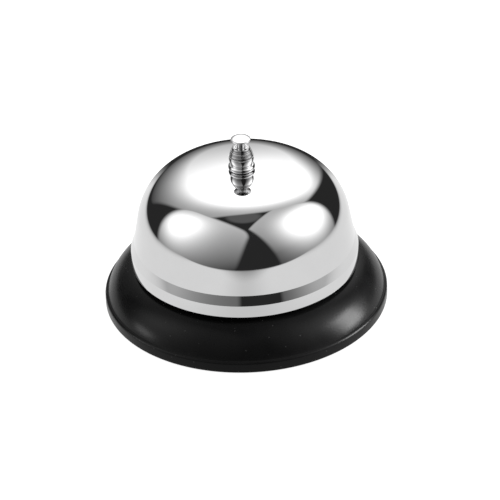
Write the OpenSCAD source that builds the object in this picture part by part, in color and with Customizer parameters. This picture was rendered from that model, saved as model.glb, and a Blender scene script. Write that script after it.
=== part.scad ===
// Counter service bell: a domed steel bell over a black pressed base. A button on top
// drives a rod down through the post, and the rod tips a lever whose hammer meets the bell.
// Origin: centre of the base on the table. +Z is up. The hammer swings towards -X.

/* [Base] */
// Diameter of the base over its lip
base_d = 85; // [71:1:105]
// Height of the platform under the bell, above the table
base_h = 12.3; // [10.5:0.1:15]
// Thickness of the base's sheet
base_sheet = 1; // [0.8:0.1:1.3]
// Height of the upright lip's top edge above the table
lip_h = 3.9; // [3.4:0.1:4.8]
// Radius that rounds the lip's top edge
lip_round = 0.9; // [0.6:0.1:1.1]
// Radius that rounds the lip's bottom edge
lip_bottom_round = 0.5; // [0.3:0.1:0.7]
// Diameter of the flat platform
platform_d = 67; // [56:1:72]
// Radius of the flare between platform and lip, seen from the side
flare_r = 13; // [12:0.5:22]
// Width of the hem that turns in under the bottom plate
hem_w = 2.7; // [2.2:0.1:4]
// How far the lip clears the table
lip_clear = 0.3; // [0.2:0.1:1]

/* [Bottom plate and feet] */
// Thickness of the bottom plate
plate_t = 0.8; // [0.6:0.1:1.2]
// Diameter of a foot's pad
foot_d = 9; // [7:0.5:12]
// Distance from the base's edge in to a foot's centre
foot_inset = 9.5; // [8:0.5:14]
// Diameter of a foot's stem, through the bottom plate
foot_stem_d = 3.2; // [2.6:0.1:4]
// How far a foot's barb stands out past its stem, all round
foot_barb = 0.8; // [0.5:0.1:1.2]
// Height of a foot's barb
foot_barb_h = 1.4; // [1:0.1:1.8]

/* [Bell] */
// Diameter of the bell's rim
rim_d = 68.4; // [57:0.2:82.2]
// Height of the bell from rim to crown
bell_h = 30.5; // [26:0.5:37]
// Gap between the rim and the platform
rim_gap = 1.6; // [1.2:0.1:3]
// Thickness of the bell's sheet
bell_sheet = 1; // [0.8:0.1:1.3]
// Height of the upright band above the rim
rim_band_h = 4.1; // [3:0.1:5]
// How much narrower the upright band is at its top, all round
rim_band_draw = 0.15; // [0.05:0.05:0.3]
// Height of the sloped step above the upright band
step_h = 2.9; // [2:0.1:3.5]
// How far the wall stands in from the rim at the step's top
step_in = 1.2; // [0.8:0.1:1.5]
// Tilt of the wall from upright, in degrees
wall_tilt = 10; // [6:0.5:14]
// Radius of the shoulder
shoulder_r = 18; // [14:0.5:21.6]
// Radius of the crown
crown_r = 140; // [110:5:200]

/* [Post] */
// Outside diameter of the post's threads, drawn plain
thread_d = 5; // [4.8:0.1:6]
// Width of the hexagons across their flats
hex_af = 8; // [7.8:0.1:9.6]
// Height of the post's hexagon, between bracket and flange
hex_h = 4.5; // [3.5:0.1:6]
// Diameter of the flange that carries the bell
flange_d = 10; // [9:0.5:12]
// Thickness of that flange
flange_t = 1.5; // [1:0.1:2.5]
// Thickness of the fibre washer between flange and bell
seat_washer_t = 0.8; // [0.5:0.1:1.5]
// How far the upper thread stands above the crown
thread_up = 4.2; // [3.4:0.1:4.6]
// Depth of the spring's pocket, down from the upper thread's end
pocket_depth = 11; // [9:0.5:12]
// Thickness of the spring lock washer under the bracket
lock_washer_t = 0.8; // [0.6:0.1:1.2]
// Thickness of the nut under the bracket
post_nut_t = 2.4; // [2:0.1:3]

/* [Barrel nut] */
// Diameter of the collar that rests on the crown
collar_d = 7.96; // [7.2:0.1:9.6]
// Height of the collar
collar_h = 1.75; // [1.4:0.05:2]
// Diameter of the waist above the collar
waist_d = 6.4; // [6.2:0.1:7]
// Largest diameter of the barrel
barrel_d = 7.46; // [7.1:0.1:8.9]
// Height of the turned line round the barrel, above the crown
barrel_line_h = 4.4; // [3.8:0.1:5.2]
// Depth of the ledge at that line
barrel_ledge = 0.1; // [0.05:0.05:0.2]
// Diameter of the nut's top face
nut_top_d = 5; // [4.2:0.1:5.4]
// Radius of the barrel above the turned line, seen from the side
barrel_top_r = 11; // [8:0.5:20]
// Height of the nut above the crown
nut_h = 7.45; // [7.1:0.1:8.9]
// Thickness of the wall that closes the nut round the button's neck
nut_lid = 0.9; // [0.7:0.1:1.2]

/* [Button and rod] */
// Diameter of the button
button_d = 5.95; // [5:0.1:7.2]
// Thickness of the button
button_t = 0.8; // [0.6:0.1:1.2]
// Diameter of the button's neck
neck_d = 2.2; // [2:0.1:2.6]
// How far the button travels
travel = 2; // [1.7:0.1:2.4]
// Gap that stays between button and nut when it is pressed
button_rest = 0.15; // [0.1:0.05:0.4]
// Diameter of the rod
rod_d = 2; // [1.7:0.1:2.4]
// Diameter of the rod's shoulder, on top of the spring
shoulder_d = 3.2; // [3:0.1:3.3]
// Thickness of that shoulder
shoulder_t = 0.8; // [0.6:0.1:1]
// Diameter of the rod's spigot in the button
spigot_d = 1.4; // [1.1:0.1:1.5]
// How far the rod stands out under the post
rod_out = 2.9; // [2.7:0.1:3.5]

/* [Return spring] */
// Diameter of the spring's wire
wire_d = 0.4; // [0.3:0.05:0.45]
// Number of turns
spring_turns = 10; // [8:1:12]

/* [Bracket] */
// Width of the bracket, along the lever
bracket_w = 18; // [15:0.5:22]
// Distance between the bracket's legs
leg_gap = 16; // [14:0.5:19]
// Thickness of the bracket's sheet
bracket_t = 1.5; // [1.2:0.1:1.8]
// Inside radius of the bracket's bends
bend_r = 1.5; // [1:0.1:2]
// Length of each of the bracket's flanges
flange_l = 9; // [8:0.5:10]
// Distance between a flange's two rivets
rivet_pitch = 10; // [8:0.5:12]
// Diameter of the rivets' shanks
rivet_d = 2.5; // [2:0.1:3]
// Diameter of the rivets' heads
rivet_head_d = 4.6; // [4:0.1:5.4]
// Height of the rivets' heads
rivet_head_h = 1.1; // [0.8:0.1:1.4]

/* [Lever and hammer] */
// Distance of the pivot from the rod's centre line
short_arm = 5.5; // [5.2:0.1:6.6]
// Diameter of the pivot pin
pin_d = 2; // [1.6:0.1:2.4]
// Thickness of the lever's strip
lever_t = 1.2; // [1:0.1:1.5]
// Width of the lever's strip
lever_w = 6; // [5:0.1:7.2]
// Radius of the lever's ears round the pin
ear_r = 1.9; // [1.8:0.05:2]
// Outside diameter of the spacers on the pin
spacer_d = 3.6; // [3.2:0.1:4]
// Height above the platform where the hammer meets the bell
strike_h = 13.7; // [12:0.1:16.5]
// Diameter of the hammer
hammer_d = 7; // [5.8:0.1:8.4]
// Length of the hammer
hammer_l = 6.5; // [5.4:0.1:7.8]
// Radius of the hammer's domed face
hammer_face_r = 6; // [5:0.5:9]
// Gap left between hammer and bell with the button pressed slowly
strike_gap = 0.35; // [0.3:0.05:1]

/* [Fits] */
// Radial gap of a pin or rod in the hole that it turns or slides in
run_gap = 0.05; // [0.03:0.01:0.09]
// Radial gap of threads and of fixed pieces in their holes
fix_gap = 0.05; // [0.02:0.01:0.1]
// Gap between pieces that meet face to face and move
face_gap = 0.06; // [0.05:0.01:0.1]

/* [Hidden] */
$fn = 64;

base_r = base_d / 2;
platform_r = platform_d / 2;
plate_z = lip_clear + base_sheet;
plate_r = base_r - base_sheet - fix_gap;
foot_circle_r = base_r - foot_inset;
rivet_out = 0.5;

// The outline of the bell
rim_r = rim_d / 2;
rim_z = base_h + rim_gap;
crown_z = rim_z + bell_h;
band_top = [rim_r - rim_band_draw, rim_z + rim_band_h];
wall_foot = [rim_r - step_in, rim_z + rim_band_h + step_h];
crown_c = [0, crown_z - crown_r];
// The shoulder's centre lies one shoulder radius inside the wall's line and
// touches the crown's arc from within, which gives a quadratic for its place.
wall_n = [cos(wall_tilt), sin(wall_tilt)];
wall_u = [-sin(wall_tilt), cos(wall_tilt)];
to_wall = wall_foot - shoulder_r * wall_n - crown_c;
half_b = to_wall * wall_u;
quad_c = to_wall * to_wall - pow(crown_r - shoulder_r, 2);
shoulder_c = crown_c + to_wall + (sqrt(half_b * half_b - quad_c) - half_b) * wall_u;
shoulder_a = atan2(shoulder_c[1] - crown_c[1], shoulder_c[0]);

// The post and what is stacked on it
thread_r = thread_d / 2;
flange_r = flange_d / 2;
seat_gap = 0.02;
seat_top = crown_under(flange_r) - seat_gap;
flange_top = seat_top - seat_washer_t;
bracket_z = flange_top - flange_t - hex_h;
bracket_under = bracket_z - bracket_t;
thread_top = crown_z + thread_up;
nut_under = bracket_under - lock_washer_t - post_nut_t;
thread_spare = 0.4;
post_end = nut_under - thread_spare;
pocket_gap = 0.15;
pocket_r = shoulder_d / 2 + pocket_gap;
pocket_z = thread_top - pocket_depth;

// The button, the rod and the spring
rod_r = rod_d / 2;
nut_top = crown_z + nut_h;
shoulder_top = nut_top - nut_lid - face_gap;
shoulder_z = shoulder_top - shoulder_t;
button_z = nut_top + travel + button_rest;
rod_tip = post_end - rod_out;
spring_r = (rod_r + pocket_r) / 2;
spring_close = 1.02;
wire_spare = 0.98;

// The lever at rest, and the angle that full travel turns it through. The rod's
// tip is a ball that stays in touch with the strip, ear_drop below the pin.
pin_r = pin_d / 2;
strip_below_pin = 0.3;
ear_drop = pin_r + strip_below_pin;
pivot = [-short_arm, rod_tip - face_gap + ear_drop];
ball_drop = ear_drop - rod_r;
lift = travel + ball_drop;
reach = short_arm * short_arm + lift * lift;
swing = asin((lift * sqrt(reach - ball_drop * ball_drop) - short_arm * ball_drop) / reach);
strike_z = base_h + strike_h;
strike_spare = 0.01;
strike_point = [-wall_inside(strike_z), strike_z]
    + (strike_gap + strike_spare) * [cos(wall_tilt), -sin(wall_tilt)];
hammer_tip = turned_back(strike_point);
hammer_tilt = swing - wall_tilt;
hammer_u = [-cos(hammer_tilt), -sin(hammer_tilt)];
hammer_v = [-sin(hammer_tilt), cos(hammer_tilt)];
pad_c = hammer_tip - (hammer_l + lever_t / 2) * hammer_u;
pad_margin = 0.3;
pad_half = hammer_d / 2 + pad_margin;
strip_z = pivot[1] - ear_drop - lever_t / 2;
stem_r = 1.2;
leg_out = leg_gap / 2 + bracket_t;
clip_t = 0.6;
groove_depth = 0.3;
clip_y = leg_out + face_gap;

// Underside of the crown at a radius
function crown_under(r) = crown_c[1] + sqrt(pow(crown_r - bell_sheet, 2) - r * r);

// Inside radius of the bell's wall at a height
function wall_inside(z) =
    wall_foot[0] - (z - wall_foot[1]) * tan(wall_tilt) - bell_sheet / cos(wall_tilt);

// A point of the lever's side view, turned back from full travel to rest
function turned_back(p) = pivot + [
    (p - pivot) * [cos(swing), -sin(swing)],
    (p - pivot) * [sin(swing), cos(swing)]
];

// Points on an arc about c, from angle a to angle b in n steps
function arc(c, r, a, b, n) =
    [for (i = [0:n]) c + r * [cos(a + (b - a) * i / n), sin(a + (b - a) * i / n)]];

// Centre of the arc of radius r that bulges outwards from point p up to point q
function arc_centre(p, q, r) =
    (p + q) / 2 + sqrt(r * r - pow(norm(q - p) / 2, 2)) / norm(q - p)
    * [p[1] - q[1], q[0] - p[0]];

// ---------------------------------------------------------------- base

// Pressed steel dish: platform, flare, upright lip and a hem turned in underneath
module base_shell() {
    lip_top = [base_r - lip_round, lip_h];
    rim_pt = [platform_r, base_h];
    lip_start = 80;
    c = arc_centre(lip_top, rim_pt, flare_r);
    a = atan2(lip_top[1] - c[1], lip_top[0] - c[0]);
    b = atan2(rim_pt[1] - c[1], rim_pt[0] - c[0]);
    color([0.05, 0.05, 0.055])
    difference() {
        rotate_extrude()
            polygon(concat(
                [[0, base_h]],
                arc(c, flare_r, b, a, 12),
                arc([base_r - lip_round, lip_h - lip_round], lip_round, lip_start, 0, 5),
                arc([base_r - lip_bottom_round, lip_clear + lip_bottom_round],
                    lip_bottom_round, 0, -90, 5),
                [[base_r - hem_w, lip_clear], [base_r - hem_w, plate_z],
                 [base_r - base_sheet, plate_z],
                 [base_r - base_sheet, lip_h - lip_round]],
                arc(c, flare_r - base_sheet, a, b, 12),
                [[platform_r - base_sheet / 2, base_h - base_sheet],
                 [0, base_h - base_sheet]]
            ));
        rivet_places()
            cylinder(h = 4 * base_sheet, r = rivet_d / 2 + fix_gap, center = true);
    }
}

// Steel disc that closes the dish from below and carries the feet
module bottom_plate() {
    color([0.2, 0.2, 0.21])
    difference() {
        translate([0, 0, plate_z])
            cylinder(h = plate_t, r = plate_r);
        for (i = [0:3])
            foot_place(i)
                translate([0, 0, plate_z - plate_t])
                cylinder(h = 3 * plate_t, r = foot_stem_d / 2 + fix_gap);
    }
}

// The i-th foot's place, counted from front right and looking down
module foot_place(i) {
    a = -45 + 90 * i;
    translate([foot_circle_r * cos(a), foot_circle_r * sin(a), 0])
        children();
}

// Rubber foot: a pad below the plate, a stem through it and a barb that holds it
module foot(i) {
    pad_r = foot_d / 2;
    stem = foot_stem_d / 2;
    plate_top = plate_z + plate_t;
    soft = 0.4;
    barb_edge = 0.3;
    color([0.12, 0.12, 0.12])
    foot_place(i)
        rotate_extrude()
            polygon(concat(
                [[0, 0]],
                arc([pad_r - soft, soft], soft, -90, 0, 4),
                [[pad_r, plate_z], [stem, plate_z], [stem, plate_top],
                 [stem + foot_barb, plate_top],
                 [stem + foot_barb, plate_top + barb_edge],
                 [stem / 2, plate_top + foot_barb_h], [0, plate_top + foot_barb_h]]
            ));
}

// ---------------------------------------------------------------- bracket

// The four rivets' places, with the platform's top at height 0 of each
module rivet_places() {
    for (i = [0:3])
        rivet_place(i)
            children();
}

// The i-th rivet's place, counted as the feet are
module rivet_place(i) {
    side_x = (i == 0 || i == 1) ? 1 : -1;
    side_y = (i == 1 || i == 2) ? 1 : -1;
    translate([side_x * rivet_pitch / 2, side_y * (leg_out + flange_l / 2 + rivet_out), base_h])
        children();
}

// A sheet bend's section: a quarter ring from angle a, on centre c
module bend(c, a) {
    translate(c)
        rotate(a)
            intersection() {
                difference() {
                    circle(r = bend_r + bracket_t);
                    circle(r = bend_r);
                }
                square(bend_r + bracket_t);
            }
}

// Half of the bracket's section: top plate, bend, leg, bend and flange
module bracket_half() {
    corner = leg_gap / 2 - bend_r;
    foot_c = [leg_out + bend_r, base_h + bracket_t + bend_r];
    translate([0, bracket_under])
        square([corner, bracket_t]);
    bend([corner, bracket_under - bend_r], 0);
    translate([leg_gap / 2, foot_c[1]])
        square([bracket_t, bracket_under - bend_r - foot_c[1]]);
    bend(foot_c, 180);
    translate([foot_c[0], base_h])
        square([flange_l - bend_r, bracket_t]);
}

// Pressed steel bridge that carries the post on top and the pivot between its legs
module bracket() {
    color([0.72, 0.72, 0.74])
    difference() {
        translate([-bracket_w / 2, 0, 0])
            rotate([90, 0, 90])
                linear_extrude(bracket_w) {
                    bracket_half();
                    mirror([1, 0])
                        bracket_half();
                }
        translate([0, 0, bracket_under - 1])
            cylinder(h = bracket_t + 2, r = thread_r + fix_gap);
        rivet_places()
            cylinder(h = 4 * bracket_t, r = rivet_d / 2 + fix_gap, center = true);
        translate([pivot[0], 0, pivot[1]])
            rotate([90, 0, 0])
                cylinder(h = 2 * leg_out + 2, r = pin_r + run_gap, center = true);
    }
}

// Rivet: round head on the flange, shank through both sheets, closed head below
module rivet(i) {
    head_r = rivet_head_d / 2;
    shank_r = rivet_d / 2;
    below_h = rivet_head_h * 0.8;
    below_r = head_r * 0.85;
    under = -base_sheet;
    color([0.8, 0.8, 0.8])
    rivet_place(i)
        rotate_extrude()
            polygon(concat(
                [[0, under - below_h], [shank_r, under - below_h],
                 [below_r, under], [shank_r, under], [shank_r, bracket_t],
                 [head_r, bracket_t]],
                [for (a = [15:15:90])
                    [head_r * cos(a), bracket_t + rivet_head_h * sin(a)]]
            ));
}

// ---------------------------------------------------------------- post and bell

// Turned brass post: lower thread, hexagon, flange and upper thread, bored for the rod
module post() {
    chamfer = 0.4;
    color([0.78, 0.62, 0.3])
    difference() {
        union() {
            rotate_extrude()
                polygon([
                    [0, post_end], [thread_r - chamfer, post_end],
                    [thread_r, post_end + chamfer], [thread_r, bracket_z],
                    [hex_af / 2, bracket_z], [hex_af / 2, flange_top - flange_t],
                    [flange_r, flange_top - flange_t], [flange_r, flange_top],
                    [thread_r, flange_top], [thread_r, thread_top - chamfer],
                    [thread_r - chamfer, thread_top], [0, thread_top]
                ]);
            translate([0, 0, bracket_z])
                cylinder(h = hex_h, r = hex_af / 2 / cos(30), $fn = 6);
        }
        translate([0, 0, post_end - 1])
            cylinder(h = thread_top - post_end + 2, r = rod_r + run_gap);
        translate([0, 0, pocket_z])
            cylinder(h = pocket_depth + 1, r = pocket_r);
    }
}

// Split spring washer under the bracket
module post_lock_washer() {
    split_tilt = 25;
    split_w = 0.5;
    color([0.6, 0.6, 0.62])
    translate([0, 0, bracket_under - lock_washer_t])
        difference() {
            cylinder(h = lock_washer_t, r = hex_af / 2);
            translate([0, 0, -1])
                cylinder(h = lock_washer_t + 2, r = thread_r + fix_gap);
            translate([0, hex_af / 2, lock_washer_t / 2])
                rotate([0, split_tilt, 0])
                    cube([split_w, hex_af, 3 * lock_washer_t], center = true);
        }
}

// Thin hexagon nut that clamps the post to the bracket
module post_nut() {
    edge = 0.3;
    corner_r = hex_af / 2 / cos(30);
    color([0.75, 0.75, 0.77])
    translate([0, 0, nut_under])
        difference() {
            intersection() {
                rotate(30)
                    cylinder(h = post_nut_t, r = corner_r, $fn = 6);
                rotate_extrude()
                    polygon([
                        [0, 0], [corner_r - 2 * edge, 0], [corner_r, edge],
                        [corner_r, post_nut_t - edge],
                        [corner_r - 2 * edge, post_nut_t], [0, post_nut_t]
                    ]);
            }
            translate([0, 0, -1])
                cylinder(h = post_nut_t + 2, r = thread_r + fix_gap);
        }
}

// Fibre washer that lets the bell ring freely on its flange
module seat_washer() {
    color([0.5, 0.2, 0.12])
    translate([0, 0, flange_top])
        difference() {
            cylinder(h = seat_washer_t, r = flange_r);
            translate([0, 0, -1])
                cylinder(h = seat_washer_t + 2, r = thread_r + fix_gap);
        }
}

// Domed bell: crown, shoulder, wall, sloped step and upright band with a round rim
module bell() {
    hole_r = thread_r + fix_gap;
    inner_crown = crown_r - bell_sheet;
    inner_shoulder = shoulder_r - bell_sheet;
    half = bell_sheet / 2;
    color([0.9, 0.9, 0.9])
    rotate_extrude()
        polygon(concat(
            arc(crown_c, crown_r, acos(hole_r / crown_r), shoulder_a, 6),
            arc(shoulder_c, shoulder_r, shoulder_a, wall_tilt, 24),
            [wall_foot, band_top],
            arc([rim_r - half, rim_z + half], half, 0, -180, 8),
            [[band_top[0] - bell_sheet, band_top[1]],
             [wall_inside(wall_foot[1]), wall_foot[1]]],
            arc(shoulder_c, inner_shoulder, wall_tilt, shoulder_a, 24),
            arc(crown_c, inner_crown, shoulder_a, acos(hole_r / inner_crown), 6)
        ));
}

// Turned nut that clamps the bell: collar, waist, barrel, and a lid round the neck
module barrel_nut() {
    collar_r = collar_d / 2;
    bead = collar_h / 2;
    barrel_r = barrel_d / 2;
    line_drop = 0.5;
    thread_clear = 0.1;
    widest_h = barrel_line_h - line_drop;
    waist_rise = widest_h - collar_h;
    waist_drop = barrel_r - waist_d / 2;
    lower_r = (waist_rise * waist_rise + waist_drop * waist_drop) / (2 * waist_drop);
    top_foot = [barrel_r - barrel_ledge, barrel_line_h];
    top_edge = [nut_top_d / 2, nut_h];
    top_c = arc_centre(top_foot, top_edge, barrel_top_r);
    foot_a = atan2(top_foot[1] - top_c[1], top_foot[0] - top_c[0]);
    edge_a = atan2(top_edge[1] - top_c[1], top_edge[0] - top_c[0]);
    color([0.85, 0.85, 0.85])
    translate([0, 0, crown_z])
        difference() {
            rotate_extrude()
                polygon(concat(
                    [[0, 0]],
                    arc([collar_r - bead, bead], bead, -90, 70, 10),
                    arc([barrel_r - lower_r, widest_h], lower_r,
                        -asin(waist_rise / lower_r), asin(line_drop / lower_r), 8),
                    arc(top_c, barrel_top_r, foot_a, edge_a, 10),
                    [[0, nut_h]]
                ));
            translate([0, 0, -1])
                cylinder(h = 1 + thread_up + thread_clear, r = thread_r + fix_gap);
            translate([0, 0, thread_up])
                cylinder(h = nut_h - nut_lid - thread_up, r = pocket_r + fix_gap);
            translate([0, 0, thread_up])
                cylinder(h = nut_h, r = neck_d / 2 + run_gap);
        }
}

// ---------------------------------------------------------------- plunger

// Steel rod: round tip, shank, shoulder that the spring lifts, and a spigot
module plunger_rod() {
    spigot_gap = 0.1;
    spigot_top = button_z - spigot_gap;
    color([0.8, 0.8, 0.82])
    rotate_extrude()
        polygon(concat(
            arc([0, rod_tip + rod_r], rod_r, -90, 0, 8),
            [[rod_r, shoulder_z], [shoulder_d / 2, shoulder_z],
             [shoulder_d / 2, shoulder_top], [spigot_d / 2, shoulder_top],
             [spigot_d / 2, spigot_top], [0, spigot_top]]
        ));
}

// Button: a thin disc with rounded edge on a neck that is pressed onto the rod
module button() {
    r = button_d / 2;
    edge = button_t / 4;
    press_gap = 0.01;
    bore_r = spigot_d / 2 + press_gap;
    under_r = r * 0.72;
    top = button_z + button_t;
    color([0.9, 0.9, 0.9])
    rotate_extrude()
        polygon(concat(
            [[bore_r, shoulder_top], [neck_d / 2, shoulder_top],
             [neck_d / 2, button_z], [under_r, button_z]],
            arc([r - edge, top - edge], edge, -45, 90, 6),
            [[0, top], [0, button_z], [bore_r, button_z]]
        ));
}

// Height of the spring's centre line after t turns: one closed turn at each end
function spring_at(t) =
    let (low = pocket_z + wire_d / 2,
         high = shoulder_z - wire_d / 2,
         pitch = wire_d * spring_close,
         open = (high - low - 2 * pitch) / (spring_turns - 2))
    t < 1 ? low + pitch * t
    : t > spring_turns - 1 ? high - pitch * (spring_turns - t)
    : low + pitch + open * (t - 1);

// Compression spring round the rod, one solid swept along a helix
module return_spring() {
    sides = 8;
    steps = 16;
    rings = spring_turns * steps;
    wire_r = wire_d / 2 * wire_spare;
    points = [
        for (i = [0:rings])
            for (j = [0:sides - 1])
                let (t = i / steps,
                     r = spring_r + wire_r * cos(360 * j / sides))
                [r * cos(360 * t), r * sin(360 * t),
                 spring_at(t) + wire_r * sin(360 * j / sides)]
    ];
    walls = [
        for (i = [0:rings - 1])
            for (j = [0:sides - 1])
                let (k = (j + 1) % sides)
                [i * sides + j, i * sides + k, (i + 1) * sides + k, (i + 1) * sides + j]
    ];
    ends = [
        [for (j = [sides - 1:-1:0]) j],
        [for (j = [0:sides - 1]) rings * sides + j]
    ];
    color([0.7, 0.7, 0.72])
    polyhedron(points = points, faces = concat(walls, ends), convexity = 10);
}

// ---------------------------------------------------------------- striker

// Stations along a bent strip's centre line, as [x, z, heading]: its ends, and a few
// on each bend's arc. h1 and h2 are the headings into and out of the bend at p.
function strip_bend(p, h1, h2, r, n) =
    let (turn = h2 - h1,
         side = sign(turn),
         back = r * tan(abs(turn) / 2),
         c = p - back * [cos(h1), sin(h1)] + side * r * [-sin(h1), cos(h1)])
    [for (i = [0:n])
        let (h = h1 + turn * i / n)
        [c[0] + side * r * sin(h), c[1] - side * r * cos(h), h]];

// One side of the strip: the stations moved sideways by d
function strip_side(stations, d) =
    [for (s = stations) [s[0] - d * sin(s[2]), s[1] + d * cos(s[2])]];

// Bent steel strip: short arm under the rod, two ears round the pin, hammer pad
module striker_lever() {
    heel_past = 1.4;
    bend_past = 1.6;
    heel_x = rod_r + heel_past;
    bend_pt = [pivot[0] - ear_r - bend_past, strip_z];
    pad_top = pad_c + pad_half * hammer_v;
    pad_end = pad_c - pad_half * hammer_v;
    arm_h = atan2(pad_top[1] - bend_pt[1], pad_top[0] - bend_pt[0]) + 360;
    pad_h = atan2(-hammer_v[1], -hammer_v[0]) + 360;
    mid_r = lever_t * 1.2;
    stations = concat(
        [[heel_x, strip_z, 180]],
        strip_bend(bend_pt, 180, arm_h, mid_r, 4),
        strip_bend(pad_top, arm_h, pad_h, mid_r, 6),
        [[pad_end[0], pad_end[1], pad_h]]
    );
    side_a = strip_side(stations, lever_t / 2);
    side_b = strip_side(stations, -lever_t / 2);
    color([0.74, 0.74, 0.76])
    difference() {
        union() {
            translate([0, lever_w / 2, 0])
                rotate([90, 0, 0])
                    linear_extrude(lever_w)
                        polygon(concat(side_a,
                            [for (i = [len(side_b) - 1:-1:0]) side_b[i]]));
            for (side = [-1, 1])
                translate([0, side * (lever_w - lever_t) / 2, 0])
                    rotate([90, 0, 0])
                        linear_extrude(lever_t, center = true) {
                            translate(pivot)
                                circle(r = ear_r);
                            translate([pivot[0] - ear_r, strip_z])
                                square([2 * ear_r, pivot[1] - strip_z]);
                        }
        }
        translate([pivot[0], 0, pivot[1]])
            rotate([90, 0, 0])
                cylinder(h = lever_w + 2, r = pin_r + run_gap, center = true);
        hammer_axis()
            translate([0, 0, -hammer_l - 2 * lever_t])
                cylinder(h = 3 * lever_t, r = stem_r + fix_gap);
    }
}

// The hammer's own axis: height 0 is its domed tip, and it points at the bell
module hammer_axis() {
    translate([hammer_tip[0], 0, hammer_tip[1]])
        rotate([0, -90 - hammer_tilt, 0])
            children();
}

// Brass hammer: domed face, body, stem through the lever and a peened end
module hammer() {
    r = hammer_d / 2;
    edge = 0.4;
    face_a = asin((r - edge) / hammer_face_r);
    face_h = -hammer_face_r * (1 - cos(face_a));
    back = -hammer_l;
    peen = back - lever_t;
    peen_r = stem_r * 1.5;
    peen_end_r = stem_r * 1.3;
    peen_h = 0.7;
    peen_edge = 0.2;
    color([0.8, 0.64, 0.3])
    hammer_axis()
        rotate_extrude()
            polygon(concat(
                arc([0, -hammer_face_r], hammer_face_r, 90, 90 - face_a, 8),
                [[r, face_h - edge], [r, back + edge], [r - edge, back],
                 [stem_r, back], [stem_r, peen], [peen_r, peen],
                 [peen_end_r, peen - peen_h + peen_edge], [0, peen - peen_h]]
            ));
}

// Steel pin that the lever turns on: head at the front, groove for a clip at the back
module pivot_pin() {
    head_r = pin_r * 1.8;
    head_h = 0.8;
    head_edge = 0.3;
    end_past = 0.6;
    end_edge = 0.2;
    groove_end = clip_y + clip_t + face_gap;
    end_y = groove_end + face_gap + end_past;
    head_y = -clip_y - head_h;
    groove_r = pin_r - groove_depth;
    color([0.82, 0.82, 0.84])
    translate([pivot[0], 0, pivot[1]])
        rotate([-90, 0, 0])
            rotate_extrude()
                polygon([
                    [0, head_y], [head_r - head_edge, head_y],
                    [head_r, head_y + head_edge], [head_r, -clip_y], [pin_r, -clip_y],
                    [pin_r, clip_y], [groove_r, clip_y], [groove_r, groove_end],
                    [pin_r, groove_end], [pin_r, end_y - end_edge],
                    [pin_r - end_edge, end_y], [0, end_y]
                ]);
}

// Snap ring in the pin's groove, open at its top
module pivot_clip() {
    groove_r = pin_r - groove_depth;
    ring_gap = 0.03;
    mouth_w = groove_r * 1.6;
    color([0.35, 0.35, 0.37])
    translate([pivot[0], clip_y + face_gap / 2, pivot[1]])
        rotate([-90, 0, 0])
            difference() {
                cylinder(h = clip_t, r = pin_r * 2);
                translate([0, 0, -1])
                    cylinder(h = clip_t + 2, r = groove_r + ring_gap);
                translate([-mouth_w / 2, -3 * pin_r, -1])
                    cube([mouth_w, 3 * pin_r, clip_t + 2]);
            }
}

// Tube that keeps the lever midway between the legs, on the front (-1) or back (1)
module spacer(side) {
    inner_y = lever_w / 2 + face_gap;
    color([0.78, 0.78, 0.8])
    translate([pivot[0], side * inner_y, pivot[1]])
        rotate([-90 * side, 0, 0])
            difference() {
                cylinder(h = leg_gap / 2 - face_gap - inner_y, r = spacer_d / 2);
                translate([0, 0, -1])
                    cylinder(h = leg_gap, r = pin_r + run_gap);
            }
}

base_shell();
bottom_plate();
foot(0);  // foot_front_right
foot(1);  // foot_back_right
foot(2);  // foot_back_left
foot(3);  // foot_front_left
bracket();
rivet(0);  // rivet_front_right
rivet(1);  // rivet_back_right
rivet(2);  // rivet_back_left
rivet(3);  // rivet_front_left
post();
post_lock_washer();
post_nut();
seat_washer();
bell();
barrel_nut();
pivot_pin();
pivot_clip();
spacer(-1);  // spacer_front
spacer(1);  // spacer_back
plunger_rod();
button();
return_spring();
striker_lever();
hammer();
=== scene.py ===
import bpy
import numpy as np
from mathutils import Matrix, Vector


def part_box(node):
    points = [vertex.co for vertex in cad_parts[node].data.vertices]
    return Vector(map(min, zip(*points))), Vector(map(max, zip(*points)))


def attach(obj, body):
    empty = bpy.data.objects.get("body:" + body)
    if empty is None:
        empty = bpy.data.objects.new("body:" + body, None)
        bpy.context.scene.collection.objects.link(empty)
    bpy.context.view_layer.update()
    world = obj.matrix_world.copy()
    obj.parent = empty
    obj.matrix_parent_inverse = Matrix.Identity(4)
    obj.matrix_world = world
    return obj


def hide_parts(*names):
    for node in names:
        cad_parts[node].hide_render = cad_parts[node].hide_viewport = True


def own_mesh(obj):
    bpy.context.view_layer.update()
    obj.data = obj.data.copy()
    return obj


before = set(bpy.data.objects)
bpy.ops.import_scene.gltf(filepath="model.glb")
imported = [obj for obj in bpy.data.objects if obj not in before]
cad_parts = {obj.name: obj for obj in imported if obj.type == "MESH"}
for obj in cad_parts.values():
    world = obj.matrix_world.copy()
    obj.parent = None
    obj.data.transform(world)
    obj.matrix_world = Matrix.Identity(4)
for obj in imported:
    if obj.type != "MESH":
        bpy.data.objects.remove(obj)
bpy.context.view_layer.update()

# ---------------------------------------------------------------- pressed base
# A dish pressed from one millimetre steel: flat platform, flare, upright lip, and a hem
# turned in underneath. It is stove-lacquered in satin black and carries everything else.


def box_of(name):
    """Lowest and highest corner of a CAD node's box at rest, in millimetres."""
    return [np.array(corner) * 1000 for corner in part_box(name)]


def arc(centre, radius, start, end, steps):
    """Points centre + radius (cos t, sin t), with t in even steps from start to end, in degrees."""
    t = np.radians(np.linspace(start, end, steps + 1))
    return np.array(centre) + radius * np.stack([np.cos(t), np.sin(t)], -1)


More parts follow.
